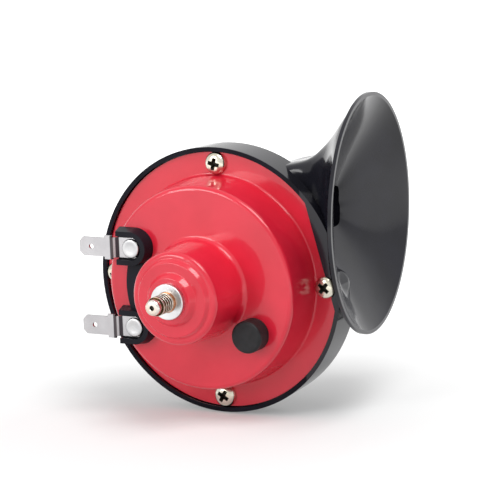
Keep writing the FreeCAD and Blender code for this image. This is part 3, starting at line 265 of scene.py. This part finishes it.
def make_camera():
    """Camera that sees the flange's middle at AXIS_PIXEL, with PIXELS_PER_METRE there."""
    azimuth = math.radians(CAMERA_AZIMUTH)
    elevation = math.radians(CAMERA_ELEVATION)
    roll = math.radians(CAMERA_ROLL)
    back = Vector((math.sin(azimuth) * math.cos(elevation),
                   -math.cos(azimuth) * math.cos(elevation), math.sin(elevation)))
    level_right = Vector((math.cos(azimuth), math.sin(azimuth), 0))
    level_up = back.cross(level_right)
    right = level_right * math.cos(roll) + level_up * math.sin(roll)
    up = level_up * math.cos(roll) - level_right * math.sin(roll)
    half = IMAGE_SIDE / 2
    across = (half - AXIS_PIXEL[0]) / PIXELS_PER_METRE
    down = (half - AXIS_PIXEL[1]) / PIXELS_PER_METRE
    place = Vector((0, FLANGE_Y, 0)) + back * CAMERA_DISTANCE + right * across - up * down
    data = bpy.data.cameras.new("camera")
    data.sensor_width = SENSOR
    data.lens = SENSOR * PIXELS_PER_METRE * CAMERA_DISTANCE / IMAGE_SIDE
    data.clip_end = CAMERA_REACH
    camera = bpy.data.objects.new("camera", data)
    turn = Matrix((right, up, back)).transposed().to_4x4()
    camera.matrix_world = Matrix.Translation(place) @ turn
    bpy.context.collection.objects.link(camera)
    bpy.context.scene.camera = camera


# Nodes of materials
def new_material(name, colour, roughness, metallic=0.0):
    material = bpy.data.materials.new(name)
    material.use_nodes = True
    shader = material.node_tree.nodes["Principled BSDF"]
    shader.inputs["Base Color"].default_value = (*colour, 1)
    shader.inputs["Roughness"].default_value = roughness
    shader.inputs["Metallic"].default_value = metallic
    return material, material.node_tree, shader


def math_node(tree, operation, *items):
    node = tree.nodes.new("ShaderNodeMath")
    node.operation = operation
    for socket, item in zip(node.inputs, items):
        if isinstance(item, (int, float)):
            socket.default_value = item
        else:
            tree.links.new(item, socket)
    return node.outputs[0]


def map_range(tree, factor, low, high, first, last):
    """Factor that goes from first to last where another goes from low to high."""
    node = tree.nodes.new("ShaderNodeMapRange")
    limits = {"From Min": low, "From Max": high, "To Min": first, "To Max": last}
    for name, number in limits.items():
        node.inputs[name].default_value = number
    tree.links.new(factor, node.inputs["Value"])
    return node.outputs["Result"]


def noise(tree, scale, detail=4, stretch=(1, 1, 1)):
    """Cloudy texture that stays with the piece."""
    coordinates = tree.nodes.new("ShaderNodeTexCoord")
    mapping = tree.nodes.new("ShaderNodeMapping")
    mapping.inputs["Scale"].default_value = stretch
    texture = tree.nodes.new("ShaderNodeTexNoise")
    texture.inputs["Scale"].default_value = scale
    texture.inputs["Detail"].default_value = detail
    tree.links.new(coordinates.outputs["Object"], mapping.inputs["Vector"])
    tree.links.new(mapping.outputs["Vector"], texture.inputs["Vector"])
    return texture.outputs["Fac"]


def coordinate(tree, axis):
    coordinates = tree.nodes.new("ShaderNodeTexCoord")
    split = tree.nodes.new("ShaderNodeSeparateXYZ")
    tree.links.new(coordinates.outputs["Object"], split.inputs["Vector"])
    return split.outputs[axis]


def colour_steps(tree, factor, steps):
    """Colours along a factor; each step is (place, colour)."""
    ramp = tree.nodes.new("ShaderNodeValToRGB")
    elements = ramp.color_ramp.elements
    while len(elements) < len(steps):
        elements.new(0.5)
    for element, (place, colour) in zip(elements, steps):
        element.position = place
        element.color = (*colour, 1)
    tree.links.new(factor, ramp.inputs["Fac"])
    return ramp.outputs["Color"]


def patches(tree, scale, tones):
    """Cloudy patches of two tones."""
    return colour_steps(tree, noise(tree, scale), [(TONE_START, tones[0]), (TONE_END, tones[1])])


def multiply_colours(tree, first, second):
    mix = tree.nodes.new("ShaderNodeMix")
    mix.data_type = "RGBA"
    mix.blend_type = "MULTIPLY"
    mix.inputs["Factor"].default_value = 1
    tree.links.new(first, mix.inputs["A"])
    tree.links.new(second, mix.inputs["B"])
    return mix.outputs["Result"]


def vary_roughness(tree, shader, factor, low, high):
    tree.links.new(map_range(tree, factor, 0, 1, low, high), shader.inputs["Roughness"])


def add_bump(tree, shader, factor, height, strength=0.5):
    bump = tree.nodes.new("ShaderNodeBump")
    bump.inputs["Distance"].default_value = height
    bump.inputs["Strength"].default_value = strength
    tree.links.new(factor, bump.inputs["Height"])
    tree.links.new(bump.outputs["Normal"], shader.inputs["Normal"])


# Materials
def red_paint():
    """Thick glossy paint with faint orange peel."""
    material, tree, shader = new_material("red_paint", PAINT_TONES[1], PAINT_ROUGHNESS[1])
    shader.inputs["Specular IOR Level"].default_value = PAINT_GLOSS
    shader.inputs["Coat Weight"].default_value = PAINT_COAT
    shader.inputs["Coat Roughness"].default_value = PAINT_COAT_ROUGHNESS
    tree.links.new(patches(tree, PAINT_TONE_SCALE, PAINT_TONES), shader.inputs["Base Color"])
    vary_roughness(tree, shader, noise(tree, PAINT_ROUGHNESS_SCALE, FINE_DETAIL), *PAINT_ROUGHNESS)
    add_bump(tree, shader, noise(tree, ORANGE_PEEL_SCALE, FINE_DETAIL), ORANGE_PEEL_HEIGHT)
    return material


def black_plastic(name, roughness, gloss):
    """Moulded black plastic: glossy, with a faint grain and cloudy gloss."""
    material, tree, shader = new_material(name, PLASTIC_TONES[1], roughness[1])
    shader.inputs["Specular IOR Level"].default_value = gloss
    tree.links.new(patches(tree, PLASTIC_TONE_SCALE, PLASTIC_TONES), shader.inputs["Base Color"])
    vary_roughness(tree, shader, noise(tree, PLASTIC_ROUGHNESS_SCALE), *roughness)
    grain = noise(tree, PLASTIC_GRAIN_SCALE, FINE_DETAIL)
    add_bump(tree, shader, grain, PLASTIC_GRAIN_HEIGHT, PLASTIC_GRAIN_STRENGTH)
    return material


def tray_plastic():
    """The tray's plastic, less glossy on the front face of its rim."""
    material = black_plastic("black_plastic", TRAY_ROUGHNESS, TRAY_GLOSS)
    tree = material.node_tree
    depth = coordinate(tree, "Y")
    before = math_node(tree, "LESS_THAN", depth, RIM_FRONT_Y - RIM_MARGIN)
    behind = map_range(tree, depth, RIM_FRONT_Y + RIM_FADE_START, RIM_FRONT_Y + RIM_FADE_END, 0, 1)
    neck = math_node(tree, "GREATER_THAN", coordinate(tree, "X"), NECK_LEFT_X)
    elsewhere = math_node(tree, "MAXIMUM", math_node(tree, "MAXIMUM", before, neck), behind)
    gloss = map_range(tree, elsewhere, 0, 1, RIM_GLOSS, TRAY_GLOSS)
    tree.links.new(gloss, tree.nodes["Principled BSDF"].inputs["Specular IOR Level"])
    return material


def metal(name, low, high, roughness, streak=(1, 1, 1)):
    """Plated metal with patches of tone and fine streaks."""
    material, tree, shader = new_material(name, high, roughness, 1.0)
    tree.links.new(patches(tree, METAL_TONE_SCALE, (low, high)), shader.inputs["Base Color"])
    streaks = noise(tree, METAL_STREAK_SCALE, STREAK_DETAIL, streak)
    vary_roughness(tree, shader, streaks, roughness - METAL_SMOOTHER, roughness + METAL_ROUGHER)
    add_bump(tree, shader, streaks, METAL_STREAK_HEIGHT)
    return material


def matte(name, low, high, roughness, grain=MATTE_GRAIN_SCALE, gloss=MATTE_GLOSS):
    """Dull material with patches of tone and a fine grain."""
    material, tree, shader = new_material(name, high, roughness)
    shader.inputs["Specular IOR Level"].default_value = gloss
    tone = patches(tree, grain / MATTE_GRAINS_A_PATCH, (low, high))
    tree.links.new(tone, shader.inputs["Base Color"])
    add_bump(tree, shader, noise(tree, grain), MATTE_GRAIN_HEIGHT)
    return material


def tin_plate():
    """Rolled tin plate, with painted shade where the terminal is bent."""
    material, tree, shader = new_material("tin_plate", TIN_TONES[1], TIN_ROUGHNESS[1], 1.0)
    # painted shade: two dark bands across the terminal at the ends of its bend
    along = map_range(tree, coordinate(tree, "X"), BEND_LEFT, BEND_RIGHT, 0, 1)
    plated_and_shaded = multiply_colours(tree, patches(tree, METAL_TONE_SCALE, TIN_TONES),
                              colour_steps(tree, along, BEND_SHADE_TINTS))
    tree.links.new(plated_and_shaded, shader.inputs["Base Color"])
    streaks = noise(tree, METAL_STREAK_SCALE, STREAK_DETAIL, TIN_STREAK)
    vary_roughness(tree, shader, streaks, *TIN_ROUGHNESS)
    add_bump(tree, shader, streaks, METAL_STREAK_HEIGHT)
    return material


def stud_plate():
    """Pale plating: painted shade in the grooves and in the tip's mark, coppery on the collar."""
    material, tree, shader = new_material("stud_plate", STUD_TONES[1], STUD_ROUGHNESS[1], 1.0)
    across = math_node(tree, "MULTIPLY", coordinate(tree, "X"), coordinate(tree, "X"))
    up = math_node(tree, "MULTIPLY", coordinate(tree, "Z"), coordinate(tree, "Z"))
    radius = math_node(tree, "SQRT", math_node(tree, "ADD", across, up))
    on_tip = math_node(tree, "LESS_THAN", coordinate(tree, "Y"), STUD_TIP_Y + STUD_TIP_LENGTH)
    # painted shade in the thread's grooves, darkest at the root
    height = map_range(tree, radius, STUD_RADIUS - STUD_THREAD_DEPTH, STUD_RADIUS, 0, 1)
    groove_shade = colour_steps(tree, math_node(tree, "MAXIMUM", height, on_tip), GROOVE_SHADE_TINTS)
    on_collar = math_node(tree, "GREATER_THAN", coordinate(tree, "Y"), -STUD_COLLAR_LENGTH)
    collar = colour_steps(tree, on_collar, [(0, WHITE), (1, COLLAR_TINT)])
    # painted shade inside the dimple in the stud's tip
    outside_tip_shade = math_node(tree, "GREATER_THAN", radius, TIP_MARK_RADIUS * TIP_MARK_SHADED_SHARE)
    tip_shade = math_node(tree, "MAXIMUM", outside_tip_shade, TIP_MARK_SHADE)
    plated_and_shaded = patches(tree, STUD_TONE_SCALE, STUD_TONES)
    for tint in (groove_shade, collar, tip_shade):
        plated_and_shaded = multiply_colours(tree, plated_and_shaded, tint)
    tree.links.new(plated_and_shaded, shader.inputs["Base Color"])
    streaks = noise(tree, METAL_STREAK_SCALE, STREAK_DETAIL)
    vary_roughness(tree, shader, streaks, *STUD_ROUGHNESS)
    return material


def make_materials():
    materials = {
        "red_paint": red_paint(),
        "black_plastic": tray_plastic(),
        "block_plastic": black_plastic("block_plastic", BLOCK_ROUGHNESS, BLOCK_GLOSS),
        "tin_plate": tin_plate(),
        "stud_plate": stud_plate(),
    }
    for name, values in METALS.items():
        materials[name] = metal(name, *values)
    for name, values in MATTES.items():
        materials[name] = matte(name, *values)
    return materials


def dress_nodes(materials):
    """Give each CAD node the material of its slot."""
    for entry in frame["record"]["subparts"]:
        node = frame["nodes"][entry["node"]]
        material = materials[entry["material_slot"]]
        if not node.material_slots:
            node.data.materials.append(material)
        for slot in node.material_slots:
            slot.material = material


# Lights, floor and background
def area_light(name, place, size, power):
    data = bpy.data.lights.new(name, "AREA")
    data.shape = "RECTANGLE"
    data.size = size[0]
    data.size_y = size[1]
    data.energy = power
    lamp = bpy.data.objects.new(name, data)
    lamp.location = place
    aim = Vector(LAMP_TARGET) - Vector(place)
    lamp.rotation_euler = aim.to_track_quat("-Z", "Y").to_euler()
    bpy.context.collection.objects.link(lamp)


def seen_directly(tree):
    """1 for rays that see a surface from the camera, or in a reflection or glass."""
    path = tree.nodes.new("ShaderNodeLightPath")
    mirrored = math_node(tree, "MAXIMUM", path.outputs["Is Glossy Ray"],
                         path.outputs["Is Transmission Ray"])
    return math_node(tree, "MAXIMUM", path.outputs["Is Camera Ray"], mirrored)


def make_world():
    """White background where it is seen, and a softer light on the horn."""
    world = bpy.data.worlds.new("studio")
    world.use_nodes = True
    bpy.context.scene.world = world
    tree = world.node_tree
    background = tree.nodes["Background"]
    background.inputs["Color"].default_value = (*WHITE, 1)
    extra = math_node(tree, "MULTIPLY", seen_directly(tree), 1 - WORLD_LIGHT)
    tree.links.new(math_node(tree, "ADD", extra, WORLD_LIGHT), background.inputs["Strength"])


def make_floor():
    """Pale floor that glows faintly where it is seen, more so far from the horn."""
    mesh = bpy.data.meshes.new("floor")
    builder = bmesh.new()
    bmesh.ops.create_grid(builder, x_segments=1, y_segments=1, size=FLOOR_HALF_SIDE)
    builder.to_mesh(mesh)
    builder.free()
    floor = bpy.data.objects.new("floor", mesh)
    floor.location = (0, 0, FLOOR_Z)
    bpy.context.collection.objects.link(floor)
    material, tree, shader = new_material("floor", FLOOR_TONES[1], FLOOR_ROUGHNESS)
    tree.links.new(patches(tree, FLOOR_TONE_SCALE, FLOOR_TONES), shader.inputs["Base Color"])
    coordinates = tree.nodes.new("ShaderNodeTexCoord")
    distance = tree.nodes.new("ShaderNodeVectorMath")
    distance.operation = "LENGTH"
    tree.links.new(coordinates.outputs["Object"], distance.inputs[0])
    glow = map_range(tree, distance.outputs["Value"], GLOW_NEAR_DISTANCE, GLOW_FAR_DISTANCE,
                     GLOW_NEAR, GLOW_FAR)
    shader.inputs["Emission Color"].default_value = (*WHITE, 1)
    tree.links.new(math_node(tree, "MULTIPLY", seen_directly(tree), glow),
                   shader.inputs["Emission Strength"])
    mesh.materials.append(material)


def make_studio():
    make_world()
    make_floor()
    for name, (place, size, power) in LAMPS.items():
        area_light(name, place, size, power)
    bpy.context.scene.view_settings.view_transform = "Standard"


# Meshes turned about an axis along Y
def add_piece(name, builder):
    mesh = bpy.data.meshes.new(name)
    builder.to_mesh(mesh)
    builder.free()
    piece = bpy.data.objects.new(name, mesh)
    bpy.context.collection.objects.link(piece)
    return piece


def turned_piece(name, rings, steps, closed_ring=False):
    """Piece from rings: each is (y, radius) or (y, function of the angle giving the radius)."""
    builder = bmesh.new()
    loops = []
    for y, radius in rings:
        loop = []
        for step in range(steps):
            angle = 2 * math.pi * step / steps
            reach = radius(angle) if callable(radius) else radius
            loop.append(builder.verts.new((reach * math.cos(angle), y, reach * math.sin(angle))))
        loops.append(loop)
    pairs = list(zip(loops, loops[1:]))
    if closed_ring:
        pairs.append((loops[-1], loops[0]))
    for near, far in pairs:
        for step in range(steps):
            following = (step + 1) % steps
            builder.faces.new((near[step], near[following], far[following], far[step]))
    if not closed_ring:
        for loop, y in ((loops[0], rings[0][0]), (loops[-1], rings[-1][0])):
            centre = builder.verts.new((0, y, 0))
            for step in range(steps):
                builder.faces.new((loop[step], loop[(step + 1) % steps], centre))
    bmesh.ops.recalc_face_normals(builder, faces=builder.faces)
    return add_piece(name, builder)


def rounded_edge(face_y, radius, bend, inward):
    """Rings from a flat face over its rounded edge; inward is 1 or -1 along Y."""
    rings = []
    for step in range(BEND_STEPS + 1):
        turn = math.radians(90 * step / BEND_STEPS)
        rings.append((face_y + inward * bend * (1 - math.cos(turn)),
                      radius - bend * (1 - math.sin(turn))))
    return rings


def ridge(turns, radius, depth):
    """Radius of a thread at one place, as a function of the angle."""
    def reach(angle):
        phase = (turns + angle / (2 * math.pi)) % 1
        return radius - depth * (1 - min(1, FLANK_SLOPE * abs(phase - 0.5)))
    return reach


def thread(start, end, radius, depth, pitch):
    """Rings of a thread along Y that fades out at both ends."""
    rings = []
    count = int((end - start) / pitch * THREAD_STEPS)
    for step in range(count + 1):
        y = start + (end - start) * step / count
        fade = min(1, (y - start) / pitch, (end - y) / pitch)
        rings.append((y, ridge(y / pitch, radius, depth * fade)))
    return rings


def hull(name, corners, material):
    builder = bmesh.new()
    points = [builder.verts.new(corner) for corner in corners]
    bmesh.ops.convex_hull(builder, input=points)
    bmesh.ops.recalc_face_normals(builder, faces=builder.faces)
    piece = add_piece(name, builder)
    piece.data.materials.append(material)
    return piece


def cut_with(piece, cutter):
    """Take a cutter's space out of a piece and drop the cutter."""
    cut = piece.modifiers.new("cut", "BOOLEAN")
    cut.operation = "DIFFERENCE"
    cut.solver = "EXACT"
    cut.material_mode = "TRANSFER"
    cut.object = cutter
    shape = piece.evaluated_get(bpy.context.evaluated_depsgraph_get())
    mesh = bpy.data.meshes.new_from_object(shape)
    piece.modifiers.clear()
    piece.data = mesh
    bpy.data.objects.remove(cutter)


def finish_piece(piece, slot, body, *nodes):
    """Smooth shading with crisp edges, the slot's material where the piece has none yet, and its
    place in the frame.
    """
    for polygon in piece.data.polygons:
        polygon.use_smooth = True
    crisp = piece.modifiers.new("edges", "EDGE_SPLIT")
    crisp.split_angle = math.radians(CRISP_ANGLE)
    if not piece.data.materials:
        piece.data.materials.append(MATERIALS[slot])
    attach(piece, body)
    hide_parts(*nodes)


# Pieces
def make_stud():
    tip_root = STUD_TIP_Y + STUD_TIP_LENGTH
    core_front = WASHER_BACK_Y + SHELL_WALL
    rings = [(STUD_TIP_Y + TIP_MARK_RADIUS, TIP_MARK_RADIUS * TIP_MARK_FLOOR),
             (STUD_TIP_Y + TIP_MARK_STEP, TIP_MARK_RADIUS),
             (STUD_TIP_Y, TIP_MARK_RADIUS * TIP_MARK_EDGE)]
    rings += rounded_edge(STUD_TIP_Y, STUD_TIP_RADIUS, STUD_TIP_BEND, 1)
    rings += [(tip_root, STUD_TIP_RADIUS), (tip_root, STUD_RADIUS - STUD_ROOT_STEP)]
    rings += thread(-STUD_COLLAR_LENGTH - STUD_THREAD_LENGTH, -STUD_COLLAR_LENGTH, STUD_RADIUS,
                    STUD_THREAD_DEPTH, STUD_PITCH)
    rings += [(0, STUD_RADIUS), (0, SHANK_RADIUS), (core_front, SHANK_RADIUS),
              (core_front, CORE_RADIUS), (STUD_CORE_Y, CORE_RADIUS)]
    stud = turned_piece("threaded_stud", rings, STUD_FACETS)
    finish_piece(stud, "stud_plate", "housing", "core_stud")


def recess_wing(across):
    """Tapered wing of the cross recess, from in front of the head down to its floor."""
    corners = []
    for depth, span, width in RECESS_WINGS:
        y = SCREW_FRONT_Y + RECESS_DEPTH * depth
        for side in (-1, 1):
            for end in (-1, 1):
                along = end * RECESS_SPAN / 2 * span
                wide = side * RECESS_WIDTH / 2 * width
                corners.append((along, y, wide) if across else (wide, y, along))
    # its faces carry the painted shade of the recess material
    return hull("wing", corners, MATERIALS["recess"])


def recess_core():
    """Cone between the wings, that ends in the pilot point."""
    corners = [(0, SCREW_FRONT_Y + RECESS_DEPTH * RECESS_PILOT, 0)]
    for depth, radius in RECESS_CONE:
        for step in range(CONE_FACETS):
            turn = 2 * math.pi * step / CONE_FACETS
            corners.append((RECESS_SPAN * radius * math.cos(turn),
                            SCREW_FRONT_Y + RECESS_DEPTH * depth,
                            RECESS_SPAN * radius * math.sin(turn)))
    # its faces carry the painted shade of the recess material
    return hull("recess_core", corners, MATERIALS["recess"])


def make_screws():
    height = FLANGE_Y - SCREW_FRONT_Y
    rings = [(SCREW_FRONT_Y, SCREW_TOP_RADIUS)]
    for step in range(1, DOME_STEPS + 1):
        turn = math.radians(90 - 90 * step / DOME_STEPS)
        rings.append((FLANGE_Y - height * math.sin(turn) ** DOME_HEIGHT_POWER,
                      SCREW_HEAD_RADIUS * math.cos(turn) ** DOME_RADIUS_POWER))
    rings += [(FLANGE_Y, SCREW_CORE_RADIUS)]
    rings += thread(FLANGE_Y + SCREW_NECK_LENGTH, SCREW_TIP_Y - SCREW_TIP_LENGTH,
                    SCREW_CORE_RADIUS, SCREW_THREAD_DEPTH, SCREW_PITCH)
    rings += [(SCREW_TIP_Y, SCREW_TIP_RADIUS)]
    screw = turned_piece("screw", rings, SCREW_FACETS)
    screw.data.materials.append(MATERIALS["yellow_zinc"])
    for cutter in (recess_wing(True), recess_wing(False), recess_core()):
        cut_with(screw, cutter)
    for side, (angle, twist) in SCREW_TURNS.items():
        turn = math.radians(angle)
        place = (PITCH_RADIUS * math.cos(turn), 0, PITCH_RADIUS * math.sin(turn))
        mesh = screw.data.copy()
        mesh.transform(Matrix.Rotation(math.radians(twist), 4, "Y"))
        mesh.transform(Matrix.Translation(place))
        piece = bpy.data.objects.new("screw_" + side, mesh)
        bpy.context.collection.objects.link(piece)
        finish_piece(piece, "yellow_zinc", "housing", "flange_screws")
    bpy.data.objects.remove(screw)


def make_rivet(node):
    low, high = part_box(node)
    front = low[1]
    back = high[1]
    seat = front + RIVET_HEAD_HEIGHT
    tail = back - RIVET_TAIL_HEIGHT
    rings = [(front + RIVET_DISH, RIVET_DISH_RADIUS * share) for share in RIVET_DISH_FLOOR]
    rings += [(front, RIVET_DISH_RADIUS)]
    rings += rounded_edge(front, RIVET_HEAD_RADIUS, RIVET_BEND, 1)
    rings += [(seat, RIVET_HEAD_RADIUS), (seat, RIVET_SHANK_RADIUS), (tail, RIVET_SHANK_RADIUS),
              (tail, RIVET_TAIL_RADIUS)]
    rings += reversed(rounded_edge(back, RIVET_TAIL_RADIUS, RIVET_BEND, -1))
    piece = turned_piece(node + "_turned", rings, RIVET_FACETS)
    place = ((low[0] + high[0]) / 2, 0, (low[2] + high[2]) / 2)
    piece.data.transform(Matrix.Translation(place))
    piece.data.materials.append(MATERIALS["rivet_plate"])
    finish_piece(piece, "nickel", "housing", node)


def make_winding():
    low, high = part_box("coil_winding")
    outer = high[0]
    length = high[1] - low[1]
    steps = round(length / WIRE_THICKNESS) * WIRE_RINGS
    rings = [(low[1], WINDING_BORE)]
    for step in range(steps + 1):
        bulge = abs(math.sin(math.pi * step / WIRE_RINGS))
        rings.append((low[1] + length * step / steps, outer - WIRE_THICKNESS / 2 * (1 - bulge)))
    rings.append((high[1], WINDING_BORE))
    wire = turned_piece("wound_wire", rings, WINDING_FACETS, True)
    finish_piece(wire, "copper_wire", "housing", "coil_winding")


make_camera()
MATERIALS = make_materials()
dress_nodes(MATERIALS)
make_studio()
make_stud()
make_screws()
make_rivet("upper_rivet")
make_rivet("lower_rivet")
make_winding()
